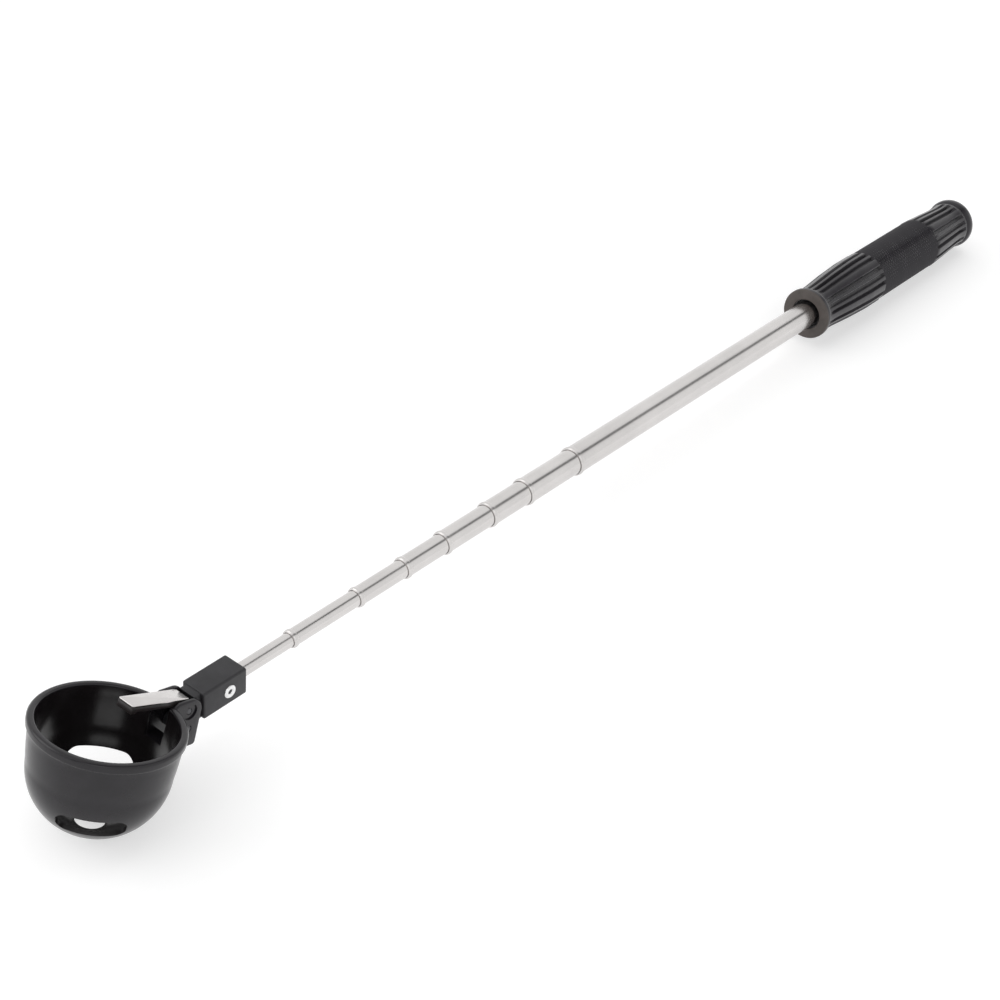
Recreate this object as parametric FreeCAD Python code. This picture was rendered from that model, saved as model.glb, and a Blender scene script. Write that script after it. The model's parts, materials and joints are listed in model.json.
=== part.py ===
import FreeCAD, Part
import math
import os

from FreeCAD import Placement, Rotation, Vector

# Golf ball retriever: a telescoping pole with a rubber grip at one end and a scoop cup at the other.
# The origin is the centre of the grip's butt face, +X runs along the pole to the scoop, and +Z is the
# side that the cup's mouth is on. All sizes are in millimetres.

# Grip
GRIP_LENGTH = 163.0
BUTT_FLARE_RADIUS = 13.75
FLANGE_RADIUS = 13.35
FLANGE_THICKNESS = 3.6
FLANGE_HOLE_RADIUS = 7.9
CORE_RADIUS = 10.0
FLANGE_HOLE_DEPTH = 5.0
BUTT_WALL = 4.0
SEAT = 2 * BUTT_WALL         # X where the tube and its liner begin
PLUG_LENGTH = 14.0
PLUG_CHAMFER = 1.0

# Outline of the grip from the butt to the neck, as (distance along X, radius); a pair of points is an arc
BUTT_OUTLINE = [(0, 9.5), ((1.0, 12.4), (4.2, BUTT_FLARE_RADIUS)), ((7.5, 13.3), (10.0, 12.9))]
REAR_FLUTED_OUTLINE = [((16.0, 12.65), (22.0, 12.95)), (33.0, 13.65), (44.0, 14.25)]
RINGED_OUTLINE = [(45.5, 14.05), (103.5, 13.95)]
FRONT_FLUTED_OUTLINE = [(105.0, 14.4), (118.0, 14.4), (135.0, 13.55), (151.0, 12.3)]

# Pole: eight tubes, each 1 mm thinner than the one before
TUBE_COUNT = 8
LARGEST_TUBE_RADIUS = 6.5
RADIUS_STEP = 0.5
TUBE_WALL = 0.3
FIRST_MOUTH = 363.0
STUBS = (34.5, 24.5, 29.0, 24.5, 27.5, 36.5, 27.5)   # how far tubes 2 to 8 stand out at rest
LONGEST_STUB = 218.0
BEAD_WIDTH = 2.4
BEAD_RISE = 0.45
LIP_CLEARANCE = 0.05
FLARE_LENGTH = 2.0
BUSH_LENGTH = 26.0
BUSH_THICKNESS = 0.14
SHOULDER = 0.3

# Block on the end of the thinnest tube
BLOCK_LENGTH = 21.2
BLOCK_WIDTH = 11.6
BLOCK_HEIGHT = 12.0
BLOCK_EDGE = 0.6
SOCKET_DEPTH = 15.0
RIVET_FROM_REAR = 8.6
RIVET_RADIUS = 1.5
RIVET_BORE = 0.9
RIVET_HEAD_RADIUS = 2.5
RIVET_HEAD = 0.7
TONGUE_WIDTH = 7.8
TONGUE_RADIUS = 3.3
TONGUE_ROOT = (-5.2, -1.8)   # lowest and highest Z where the tongue leaves the block
TONGUE_INSET = 2.0

# Scoop cup, in its own frame: the rim's centre is the origin, the mouth faces +z, the pole is at -x
CUP_TILT = 15.0
RIM_FROM_BLOCK = 60.1        # from the block's rear face to the rim's centre, along the pole
RIM_HEIGHT = 14.4
RIM_RADIUS = 27.85
RIM_INNER = 25.0
LIP_DEPTH = 3.6
LIP_ROUND = 0.9              # corner of the lip's outer edge
RIM_CHAMFER = 0.6            # inner edge of the mouth
LIP_STEP = 0.95              # how far the lip stands out of the wall below it
BOWL_RADIUS = 25.8
BOWL_CENTRE = 17.5           # below the rim
WALL_MIDDLE = 11.0           # depth of the point that gives the tapered wall its curve
WALL_MIDDLE_RADIUS = 26.7
CUP_WALL = 2.0
DRAIN_RADIUS = 5.5
FOOT_DEPTH = 0.5
WINDOW_TOP = 24.7
WINDOW_BOTTOM = 33.3
WINDOW_WIDTH = 24.6
WINDOW_CORNER = 4.2
WINDOW_ANGLES = (45.0, 225.0)
WINDOW_START = 3.0           # from the cup's axis, inside the bowl
CHEEK_INNER = 4.05
CHEEK_OUTER = 6.0
CHEEK_REAR = -40.1
CHEEK_BOTTOM = -18.9
CHEEK_TOP = 1.3
CHEEK_CORNER = 1.5
CHEEK_ROUND = 5.5            # radius of the cheek's top rear corner
NECK_FLOOR_TOP = -15.3
NECK_FLOOR_REAR = -30.8
NECK_FRONT = -24.5           # where the neck has run into the bowl's wall
SLOT_REAR, SLOT_FRONT = -29.0, -20.0
TILT_PIN = (-34.8, -11.0)    # in the cup's frame
TILT_PIN_RADIUS = 1.5
RUNNING_CLEARANCE = 0.05

# Latch flap, in its own frame: the flap pin's axis is the origin and the plate runs along +x
FLAP_PIN = (-34.2, -3.6)     # in the cup's frame
FLAP_PIN_RADIUS = 1.25
PIN_RECESS_RADIUS = 2.4
PIN_RECESS = 0.6
FLAP_RISE = 10.5
PLATE_START = 0.3
PLATE_END = 28.9
PLATE_TOP = 4.5
PLATE_THICKNESS = 0.8
PLATE_WIDTH = 7.5
PLATE_CORNER = 0.5
LEVER_WIDTH = 7.4
ARM_GAP = 4.0                # room for the spring between the lever's two arms
ARM_UNDERSIDE = 1.8
SHELF_START = 3.4
SHELF_UNDERSIDE = 2.4
TIP_LIP_BOTTOM = 1.2
TIP_LIP_LENGTH = 2.2
TIP_LIP_SLOPE = 1.0
KNUCKLE_RADIUS = 3.0
COIL_RADIUS = 1.95
WIRE_RADIUS = 0.3
COIL_TURNS = 3 + 300.0 / 360.0
COIL_WIDTH = 2.4
FLOOR_LEG_LENGTH = 11.6
LEVER_LEG_LENGTH = 7.2

# Resting plane: the cup's foot and the butt flare lie on it
FLARE_X = BUTT_OUTLINE[1][1][0]
GROUND_SIZE = 120.0

BLOCK_REAR = FIRST_MOUTH + sum(STUBS)
STOP_LENGTH = BUSH_LENGTH + FLARE_LENGTH + 2 * SHOULDER + BEAD_WIDTH
INNER_TUBE_LENGTH = LONGEST_STUB + STOP_LENGTH
POLE_AXIS = Vector(1, 0, 0)
ACROSS = Vector(0, 1, 0)
UP = Vector(0, 0, 1)
ORIGIN = Vector(0, 0, 0)
SLANT = math.sqrt(0.5)
CUP_PLACE = Placement(Vector(BLOCK_REAR + RIM_FROM_BLOCK, 0, RIM_HEIGHT), Rotation(ACROSS, -CUP_TILT))
FLAP_PLACE = CUP_PLACE.multiply(Placement(Vector(FLAP_PIN[0], 0, FLAP_PIN[1]), Rotation(ACROSS, -FLAP_RISE)))


def side_point(u, w):
    """A point of the X-Z plane."""
    return Vector(u, 0, w)


def outline_face(start, steps):
    """Closed face in the X-Z plane. A step is a point for a line, or a (middle, end) pair for an arc."""
    edges = []
    here = start
    for step in steps + [start]:
        if isinstance(step[0], tuple):
            middle, there = step
            edges.append(Part.Arc(side_point(*here), side_point(*middle), side_point(*there)).toShape())
        else:
            there = step
            edges.append(Part.makeLine(side_point(*here), side_point(*there)))
        here = there
    return Part.Face(Part.Wire(edges))


def turned_on_pole(start, steps):
    """Solid of revolution about the pole; points are (distance along X, radius)."""
    return outline_face(start, steps).revolve(ORIGIN, POLE_AXIS, 360)


def ring_on_pole(rear, front, inner, outer):
    """Plain sleeve about the pole."""
    return turned_on_pole((rear, inner), [(front, inner), (front, outer), (rear, outer)])


def pushed_across(face, low, high):
    """Side outline given a width from Y = low to Y = high."""
    face.translate(Vector(0, low, 0))
    return face.extrude(Vector(0, high - low, 0))


def cross_pin(u, w, radius, length):
    """Round bar along Y, centred on the middle plane."""
    return Part.makeCylinder(radius, length, Vector(u, -length / 2, w), ACROSS)


def placed(shape, placement):
    """The shape moved from its own frame into the object's frame."""
    moved = shape.copy()
    moved.Placement = placement.multiply(moved.Placement)
    return moved


def grip_sleeve():
    """Rubber grip: butt flare, rear fluted part, ringed middle, front fluted part, neck and collar."""
    front = GRIP_LENGTH
    bore_end = front - FLANGE_HOLE_DEPTH
    flange_rear = front - FLANGE_THICKNESS
    collar = [(flange_rear - 1.6, 12.1), (flange_rear, 12.7),
              ((flange_rear + 0.3, 13.15), (flange_rear + 1.0, FLANGE_RADIUS)),
              (front - 1.0, FLANGE_RADIUS), ((front - 0.3, 13.05), (front, 12.3))]
    bore = [(front, FLANGE_HOLE_RADIUS), (bore_end, FLANGE_HOLE_RADIUS), (bore_end, CORE_RADIUS),
            (BUTT_WALL, CORE_RADIUS), (BUTT_WALL, 0)]
    outline = BUTT_OUTLINE + REAR_FLUTED_OUTLINE + RINGED_OUTLINE + FRONT_FLUTED_OUTLINE
    return turned_on_pole((0, 0), outline + collar + bore)


def grip_core():
    """Liner between the rubber and the largest tube."""
    return ring_on_pole(SEAT, GRIP_LENGTH - FLANGE_HOLE_DEPTH, LARGEST_TUBE_RADIUS, CORE_RADIUS)


def butt_plug():
    """Plug with a head behind the core and a shank in the end of the largest tube."""
    shank = LARGEST_TUBE_RADIUS - TUBE_WALL
    front = SEAT + PLUG_LENGTH
    return turned_on_pole((BUTT_WALL, 0), [
        (BUTT_WALL, CORE_RADIUS), (SEAT, CORE_RADIUS), (SEAT, shank), (front - PLUG_CHAMFER, shank),
        (front, shank - PLUG_CHAMFER), (front, 0)])


def tube_radius(number):
    """Outer radius of a tube; tube 1 is the largest."""
    return LARGEST_TUBE_RADIUS - RADIUS_STEP * (number - 1)


def tube_mouth(number):
    """X of a tube's open end at rest; for the last tube, X of the block's rear face."""
    return FIRST_MOUTH + sum(STUBS[:number - 1])


def tube_rear(number):
    """X of a tube's inner end at rest."""
    return SEAT if number == 1 else tube_mouth(number) - INNER_TUBE_LENGTH


def mouth_steps(number):
    """Outline steps over a tube's mouth: the rolled bead outside and the lip that guides the next tube."""
    radius = tube_radius(number)
    mouth = tube_mouth(number)
    lip = radius - RADIUS_STEP + LIP_CLEARANCE
    bead_rear = mouth - BEAD_WIDTH
    return [(bead_rear, radius), ((mouth - BEAD_WIDTH / 2, radius + BEAD_RISE), (mouth, radius)),
            (mouth, lip), (bead_rear, lip), (bead_rear - SHOULDER, radius - TUBE_WALL)]


def rear_steps(number):
    """Outline steps over a sliding tube's inner end, flared so that the bush can't slip off."""
    radius = tube_radius(number)
    rear = tube_rear(number)
    flare_end = rear + FLARE_LENGTH
    return [(flare_end + SHOULDER, radius - TUBE_WALL), (flare_end, radius - TUBE_WALL + BUSH_THICKNESS),
            (rear, radius - TUBE_WALL + BUSH_THICKNESS), (rear, radius + BUSH_THICKNESS),
            (flare_end, radius + BUSH_THICKNESS), (flare_end + SHOULDER, radius)]


def largest_tube():
    """Tube that the grip is fixed to."""
    radius = tube_radius(1)
    rear = tube_rear(1)
    return turned_on_pole((rear, radius), mouth_steps(1) + [(rear, radius - TUBE_WALL)])


def middle_tube(number):
    """Sliding tube with a bead at its mouth and a flare at its inner end."""
    steps = mouth_steps(number) + rear_steps(number)
    return turned_on_pole(steps[-1], steps[:-1])


def last_tube():
    """Thinnest tube; its front end sits in the block and is crossed by the rivet."""
    radius = tube_radius(TUBE_COUNT)
    front = BLOCK_REAR + SOCKET_DEPTH
    steps = [(front, radius), (front, radius - TUBE_WALL)] + rear_steps(TUBE_COUNT)
    tube = turned_on_pole(steps[-1], steps[:-1])
    return tube.cut(cross_pin(BLOCK_REAR + RIVET_FROM_REAR, 0, RIVET_RADIUS, 4 * radius))


def slide_bush(number):
    """Thin friction sleeve on a sliding tube's inner end."""
    rear = tube_rear(number) + FLARE_LENGTH + SHOULDER
    radius = tube_radius(number)
    return ring_on_pole(rear, rear + BUSH_LENGTH, radius, radius + BUSH_THICKNESS)


def in_object(point):
    """A point of the cup's middle plane, in the object's frame."""
    place = CUP_PLACE.multVec(side_point(*point))
    return place.x, place.z


def end_block():
    """Block with a socket for the tube, and a tongue that the cup tilts on."""
    pin_x, pin_z = in_object(TILT_PIN)
    body = Part.makeBox(BLOCK_LENGTH, BLOCK_WIDTH, BLOCK_HEIGHT,
                        Vector(BLOCK_REAR, -BLOCK_WIDTH / 2, -BLOCK_HEIGHT / 2))
    body = body.makeFillet(BLOCK_EDGE, body.Edges)
    root = BLOCK_REAR + BLOCK_LENGTH - TONGUE_INSET
    low, high = TONGUE_ROOT
    arm = pushed_across(outline_face((root, low), [(pin_x, pin_z - TONGUE_RADIUS),
                                                   (pin_x, pin_z + TONGUE_RADIUS), (root, high)]),
                        -TONGUE_WIDTH / 2, TONGUE_WIDTH / 2)
    block = body.fuse(arm).fuse(cross_pin(pin_x, pin_z, TONGUE_RADIUS, TONGUE_WIDTH))
    block = block.cut(Part.makeCylinder(tube_radius(TUBE_COUNT), SOCKET_DEPTH,
                                        Vector(BLOCK_REAR, 0, 0), POLE_AXIS))
    block = block.cut(cross_pin(BLOCK_REAR + RIVET_FROM_REAR, 0, RIVET_RADIUS, 2 * BLOCK_WIDTH))
    return block.cut(cross_pin(pin_x, pin_z, TILT_PIN_RADIUS, 2 * BLOCK_WIDTH)).removeSplitter()


def block_rivet():
    """Hollow rivet across the block, with a rounded head on each side."""
    half = BLOCK_WIDTH / 2
    tip = half + RIVET_HEAD
    crown = ((RIVET_BORE + RIVET_HEAD_RADIUS) / 2, tip)
    face = outline_face((RIVET_BORE, -tip), [
        ((crown[0], -crown[1]), (RIVET_HEAD_RADIUS, -half)), (RIVET_RADIUS, -half),
        (RIVET_RADIUS, half), (RIVET_HEAD_RADIUS, half),
        (crown, (RIVET_BORE, tip))])
    rivet = face.revolve(ORIGIN, UP, 360)
    lie = Placement(Vector(BLOCK_REAR + RIVET_FROM_REAR, 0, 0), Rotation(POLE_AXIS, 90))
    return placed(rivet, lie)


def tilt_pin():
    """Pin through the cup's cheeks and the block's tongue."""
    pin_x, pin_z = in_object(TILT_PIN)
    return cross_pin(pin_x, pin_z, TILT_PIN_RADIUS, 2 * CHEEK_OUTER)


def bowl():
    """Round shell of the cup: beaded lip, tapered wall and hemispherical bottom."""
    inner = BOWL_RADIUS - CUP_WALL
    inner_middle = WALL_MIDDLE_RADIUS - CUP_WALL - RIM_CHAMFER / 2
    cut = LIP_ROUND * (1 - SLANT)
    face = outline_face((RIM_INNER + RIM_CHAMFER, 0), [
        (RIM_RADIUS - LIP_ROUND, 0), ((RIM_RADIUS - cut, -cut), (RIM_RADIUS, -LIP_ROUND)),
        (RIM_RADIUS, LIP_ROUND - LIP_DEPTH),
        ((RIM_RADIUS - cut, cut - LIP_DEPTH), (RIM_RADIUS - LIP_ROUND, -LIP_DEPTH)),
        (RIM_RADIUS - LIP_STEP, -LIP_DEPTH - LIP_STEP),
        ((WALL_MIDDLE_RADIUS, -WALL_MIDDLE), (BOWL_RADIUS, -BOWL_CENTRE)),
        ((BOWL_RADIUS * SLANT, -BOWL_CENTRE - BOWL_RADIUS * SLANT), (0, -BOWL_CENTRE - BOWL_RADIUS)),
        (0, -BOWL_CENTRE - inner),
        ((inner * SLANT, -BOWL_CENTRE - inner * SLANT), (inner, -BOWL_CENTRE)),
        ((inner_middle, -WALL_MIDDLE), (RIM_INNER, -LIP_DEPTH)), (RIM_INNER, -RIM_CHAMFER)])
    return face.revolve(ORIGIN, UP, 360)


def window_cutter(angle):
    """Rounded slot cutter that enters the bowl low on one side, from the axis outwards."""
    height = WINDOW_BOTTOM - WINDOW_TOP
    cutter = Part.makeBox(BOWL_RADIUS * 2, WINDOW_WIDTH, height,
                          Vector(WINDOW_START, -WINDOW_WIDTH / 2, -WINDOW_BOTTOM))
    along = [edge for edge in cutter.Edges if abs(edge.tangentAt(edge.FirstParameter).x) > 0.99]
    cutter = cutter.makeFillet(WINDOW_CORNER, along)
    cutter.rotate(ORIGIN, UP, angle)
    return cutter


def cheek(low, high):
    """One side of the neck between Y = low and Y = high."""
    centre_x = CHEEK_REAR + CHEEK_ROUND
    centre_z = CHEEK_TOP - CHEEK_ROUND
    slant = CHEEK_ROUND * SLANT
    cut = CHEEK_CORNER * (1 - SLANT)
    lip = 0.1 - RIM_INNER
    face = outline_face((lip, -RIM_CHAMFER / 3), [
        (-RIM_RADIUS, CHEEK_TOP), (centre_x, CHEEK_TOP),
        ((centre_x - slant, centre_z + slant), (CHEEK_REAR, centre_z)),
        (CHEEK_REAR, CHEEK_BOTTOM + CHEEK_CORNER),
        ((CHEEK_REAR + cut, CHEEK_BOTTOM + cut), (CHEEK_REAR + CHEEK_CORNER, CHEEK_BOTTOM)),
        (NECK_FRONT, CHEEK_BOTTOM), (NECK_FRONT, -2 * LIP_DEPTH), (lip, -LIP_DEPTH)])
    return pushed_across(face, low, high)


def scoop_cup():
    """Cup with its windows, drain hole, latch slot and the two cheeks of its neck, as one moulding."""
    floor = Part.makeBox(NECK_FRONT - NECK_FLOOR_REAR, 2 * CHEEK_INNER, NECK_FLOOR_TOP - CHEEK_BOTTOM,
                         Vector(NECK_FLOOR_REAR, -CHEEK_INNER, CHEEK_BOTTOM))
    cup = bowl().fuse([cheek(CHEEK_INNER, CHEEK_OUTER), cheek(-CHEEK_OUTER, -CHEEK_INNER), floor])
    cutters = [window_cutter(angle) for angle in WINDOW_ANGLES]
    cutters.append(Part.makeCylinder(DRAIN_RADIUS, 5 * CUP_WALL,
                                     Vector(0, 0, -BOWL_CENTRE - BOWL_RADIUS - CUP_WALL)))
    cutters.append(Part.makeBox(SLOT_FRONT - SLOT_REAR, 2 * CHEEK_INNER, CHEEK_TOP - NECK_FLOOR_TOP + 1,
                                Vector(SLOT_REAR, -CHEEK_INNER, NECK_FLOOR_TOP)))
    cutters.append(cross_pin(*FLAP_PIN, FLAP_PIN_RADIUS, 4 * CHEEK_OUTER))
    cutters.append(cross_pin(*TILT_PIN, TILT_PIN_RADIUS + RUNNING_CLEARANCE, 4 * CHEEK_OUTER))
    for side in (-1, 1):
        mouth = Vector(FLAP_PIN[0], side * CHEEK_OUTER, FLAP_PIN[1])
        cutters.append(Part.makeCylinder(PIN_RECESS_RADIUS, PIN_RECESS, mouth, Vector(0, -side, 0)))
    cup = placed(cup.cut(cutters), CUP_PLACE)
    return cup.cut(resting_ground()).removeSplitter()


def resting_ground():
    """Everything under the plane that the butt flare and the cup's foot lie on."""
    centre = CUP_PLACE.multVec(Vector(0, 0, -BOWL_CENTRE))
    foot_z = centre.z - BOWL_RADIUS + FOOT_DEPTH
    slope = math.degrees(math.atan2(-BUTT_FLARE_RADIUS - foot_z, centre.x - FLARE_X))
    half = GROUND_SIZE / 2
    ground = Part.makeBox(GROUND_SIZE, GROUND_SIZE, half, Vector(-half, -half, -half))
    ground.Placement = Placement(Vector(centre.x, 0, foot_z), Rotation(ACROSS, slope))
    return ground


def flap_pin():
    """Pin pressed into the cheeks for the latch flap."""
    return placed(cross_pin(0, 0, FLAP_PIN_RADIUS, 2 * (CHEEK_OUTER - PIN_RECESS)), FLAP_PLACE)


def latch_flap():
    """Moulded lever: two arms on the flap pin, a shelf under the plate and a lip at its tip."""
    under = PLATE_TOP - PLATE_THICKNESS
    half = LEVER_WIDTH / 2
    lip_rear = PLATE_END - TIP_LIP_LENGTH
    lip_root = lip_rear - TIP_LIP_SLOPE
    tip = [(PLATE_END, under), (PLATE_END, TIP_LIP_BOTTOM), (lip_rear, TIP_LIP_BOTTOM)]
    arm_outline = [(PLATE_START, under)] + tip + [(lip_root, ARM_UNDERSIDE),
                                                  (KNUCKLE_RADIUS, ARM_UNDERSIDE), (KNUCKLE_RADIUS, 0)]
    shelf_outline = [(SHELF_START, under)] + tip + [(lip_root, SHELF_UNDERSIDE)]
    arms = []
    for low, high in ((-half, -ARM_GAP / 2), (ARM_GAP / 2, half)):
        arms.append(pushed_across(outline_face((0, 0), arm_outline), low, high))
        arms.append(Part.makeCylinder(KNUCKLE_RADIUS, high - low, Vector(0, low, 0), ACROSS))
    shelf = pushed_across(outline_face((SHELF_START, SHELF_UNDERSIDE), shelf_outline),
                          -ARM_GAP / 2, ARM_GAP / 2)
    lever = shelf.fuse(arms)
    lever = lever.cut(cross_pin(0, 0, FLAP_PIN_RADIUS + RUNNING_CLEARANCE, 2 * LEVER_WIDTH))
    return placed(lever.removeSplitter(), FLAP_PLACE)


def flap_plate():
    """Plain steel plate on the lever."""
    plate = Part.makeBox(PLATE_END - PLATE_START, PLATE_WIDTH, PLATE_THICKNESS,
                         Vector(PLATE_START, -PLATE_WIDTH / 2, PLATE_TOP - PLATE_THICKNESS))
    upright = [edge for edge in plate.Edges if abs(edge.tangentAt(edge.FirstParameter).z) > 0.99]
    return placed(plate.makeFillet(PLATE_CORNER, upright), FLAP_PLACE)


def coil_tangent(angle):
    """Direction of the coil's wire at an angle round its axis, before the spring is turned to lie along Y."""
    rise = COIL_WIDTH / COIL_TURNS / (2 * math.pi * COIL_RADIUS)
    tangent = Vector(-math.sin(angle), math.cos(angle), rise)
    return tangent.normalize()


def flap_spring():
    """Torsion spring: a coil round the flap pin, one leg on the neck's floor and one under the lever."""
    coil = Part.makeHelix(COIL_WIDTH / COIL_TURNS, COIL_WIDTH, COIL_RADIUS)
    end_angle = 2 * math.pi * (COIL_TURNS % 1)
    coil_start = Vector(COIL_RADIUS, 0, 0)
    coil_end = Vector(COIL_RADIUS * math.cos(end_angle), COIL_RADIUS * math.sin(end_angle), COIL_WIDTH)
    floor_end = coil_start - coil_tangent(0) * FLOOR_LEG_LENGTH
    lever_end = coil_end + coil_tangent(end_angle) * LEVER_LEG_LENGTH
    route = Part.Wire([Part.makeLine(floor_end, coil_start)] + coil.Edges
                      + [Part.makeLine(coil_end, lever_end)])
    section = Part.Wire(Part.makeCircle(WIRE_RADIUS, floor_end, coil_tangent(0)))
    spring = route.makePipeShell([section], True, True)
    spring.translate(Vector(0, 0, -COIL_WIDTH / 2))
    spring.rotate(ORIGIN, POLE_AXIS, 90)
    return placed(spring, FLAP_PLACE)


def sub_parts():
    """Every node of the object with its solid."""
    nodes = {
        "grip_sleeve": grip_sleeve(),
        "grip_core": grip_core(),
        "butt_plug": butt_plug(),
        "tube_1": largest_tube(),
        "tube_8": last_tube(),
        "end_block": end_block(),
        "block_rivet": block_rivet(),
        "tilt_pin": tilt_pin(),
        "scoop_cup": scoop_cup(),
        "flap_pin": flap_pin(),
        "latch_flap": latch_flap(),
        "flap_plate": flap_plate(),
        "flap_spring": flap_spring(),
    }
    for number in range(2, TUBE_COUNT):
        nodes["tube_%d" % number] = middle_tube(number)
    for number in range(2, TUBE_COUNT + 1):
        nodes["slide_bush_%d" % number] = slide_bush(number)
    return nodes


def main():
    """Write one STEP file per node and print what a check of the sizes needs."""
    os.makedirs("parts", exist_ok=True)
    for name, shape in sorted(sub_parts().items()):
        box = shape.BoundBox
        print("%-16s valid %s solids %d volume %9.2f  x %.1f..%.1f  z %.1f..%.1f" % (
            name, shape.isValid(), len(shape.Solids), shape.Volume, box.XMin, box.XMax, box.ZMin, box.ZMax))
        shape.exportStep("parts/%s.step" % name)
    print("tilt pin at", in_object(TILT_PIN), "flap pin at", in_object(FLAP_PIN))


main()
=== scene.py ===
"""Golf ball retriever: the looks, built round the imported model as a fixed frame.

Lengths are millimetres, angles are degrees and noise scales are cycles per metre, unless a line
says otherwise.
"""

import json
import logging
import math
from collections.abc import Callable, Sequence
from dataclasses import dataclass
from enum import Enum

import bpy
import numpy as np
from mathutils import Matrix, Vector


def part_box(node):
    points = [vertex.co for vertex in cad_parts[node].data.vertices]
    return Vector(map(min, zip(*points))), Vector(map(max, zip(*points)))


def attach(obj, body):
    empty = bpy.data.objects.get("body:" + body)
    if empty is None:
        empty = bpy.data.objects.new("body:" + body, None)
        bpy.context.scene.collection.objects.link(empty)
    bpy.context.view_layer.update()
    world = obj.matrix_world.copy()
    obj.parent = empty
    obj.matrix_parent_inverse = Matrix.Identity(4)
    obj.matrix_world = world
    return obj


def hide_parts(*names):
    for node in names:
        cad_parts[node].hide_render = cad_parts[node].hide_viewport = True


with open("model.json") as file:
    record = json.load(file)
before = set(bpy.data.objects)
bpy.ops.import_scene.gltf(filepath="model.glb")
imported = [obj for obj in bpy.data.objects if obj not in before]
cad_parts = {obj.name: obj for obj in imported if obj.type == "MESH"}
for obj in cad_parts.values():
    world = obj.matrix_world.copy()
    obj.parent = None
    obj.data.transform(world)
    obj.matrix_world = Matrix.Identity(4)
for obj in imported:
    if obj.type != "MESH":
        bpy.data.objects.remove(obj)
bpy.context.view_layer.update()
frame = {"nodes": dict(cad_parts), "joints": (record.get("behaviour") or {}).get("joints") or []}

MM = 0.001
EASE_ANGLE = 35.0       # edges sharper than this are rounded by eased()
SHARP_ANGLE = 38.0      # edges sharper than this stay sharp in the shading
NOISE_MIDDLE = (0.3, 0.7)
PIN_SIDES = 40
BORE_REACH = 20.0

Array = np.ndarray
Pair = tuple[float, float]
Triple = tuple[float, float, float]
Outline = tuple[Pair, ...]
log = logging.getLogger("retriever")


class Axis(Enum):
    """Line that a turned piece is turned about."""

    POLE = 0
    ACROSS = 1
    CUP = 2


class Step(Enum):
    """What a second solid does to a piece."""

    JOIN = "UNION"
    CUT = "DIFFERENCE"


# ---------------------------------------------------------------- shapes as whole arrays


def arc(centre: Pair, radius: float, first: float, last: float, count: int) -> Array:
    """Points of a round stretch: centre + radius * (cos a, sin a), with a in even steps.

    Args:
        centre: Middle of the circle.
        radius: Radius of the circle.
        first: Angle of the first point.
        last: Angle of the last point.
        count: Number of points, both ends included.

    Returns:
        An array of (count, 2) points.
    """
    angle = np.radians(np.linspace(first, last, count))
    return np.stack([centre[0] + radius * np.cos(angle), centre[1] + radius * np.sin(angle)], -1)


def joined(*stretches: Sequence) -> Array:
    """One outline from stretches of points, laid end to end."""
    return np.vstack([np.atleast_2d(np.asarray(part, float)) for part in stretches])


def refined(outline: Array, step: float) -> Array:
    """The outline with points added on its long straight runs: a + (b - a) * i / n on the run from a to b.

    Args:
        outline: (k, 2) points.
        step: Longest run that is left.

    Returns:
        An array of at least k points.
    """
    spans = np.linalg.norm(np.diff(outline, axis=0), axis=1)
    counts = np.maximum(1, np.ceil(spans / step).astype(int))
    runs = [a + (b - a) * (np.arange(n) / n)[:, None] for a, b, n in zip(outline[:-1], outline[1:], counts)]
    return np.vstack(runs + [outline[-1:]])


def turned(profile: Array, segments: int, axis: Axis, place: Triple = (0.0, 0.0, 0.0)) -> Array:
    """Rings of a turned surface: each (along, radius) pair becomes a circle round the axis.

    Args:
        profile: (k, 2) pairs of distance along the axis and radius.
        segments: Points in each ring.
        axis: The line it is turned about.
        place: Point that the axis passes through, added to every ring.

    Returns:
        A (k, segments, 3) array.
    """
    angle = np.linspace(0, 2 * math.pi, segments, endpoint=False)
    along = np.repeat(profile[:, :1], segments, 1)
    first = profile[:, 1:] * np.cos(angle)
    second = profile[:, 1:] * np.sin(angle)
    orders = {Axis.POLE: (along, first, second), Axis.ACROSS: (first, along, second),
              Axis.CUP: (first, second, along)}
    return np.stack(orders[axis], -1) + np.asarray(place, float)


def leaned(points: Array, angle: float) -> Array:
    """Points turned about y by an angle in radians: (x cos - z sin, y, x sin + z cos)."""
    cos, sin = math.cos(angle), math.sin(angle)
    return points @ np.array([[cos, 0, -sin], [0, 1, 0], [sin, 0, cos]]).T


def rounded_box_ring(width: float, height: float, corner: float, per_corner: int) -> Array:
    """Outline of a rectangle with round corners, as four quarter circles in order.

    Args:
        width: Whole width.
        height: Whole height.
        corner: Radius of the corners.
        per_corner: Points in each quarter circle.

    Returns:
        A (4 * per_corner, 2) array.
    """
    half = np.array([width / 2 - corner, height / 2 - corner])
    signs = ((1, 1), (-1, 1), (-1, -1), (1, -1))
    parts = [arc(tuple(half * sign), corner, 90.0 * turn, 90.0 * turn + 90.0, per_corner)
             for turn, sign in enumerate(signs)]
    return np.vstack(parts)


def edge_steps(radius: float, count: int) -> Array:
    """(depth, inset) pairs of a rounded edge: from the face (inset = radius) to the side (inset = 0)."""
    angle = np.linspace(0, math.pi / 2, count)
    return np.stack([radius * (1 - np.cos(angle)), radius * (1 - np.sin(angle))], -1)


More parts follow.
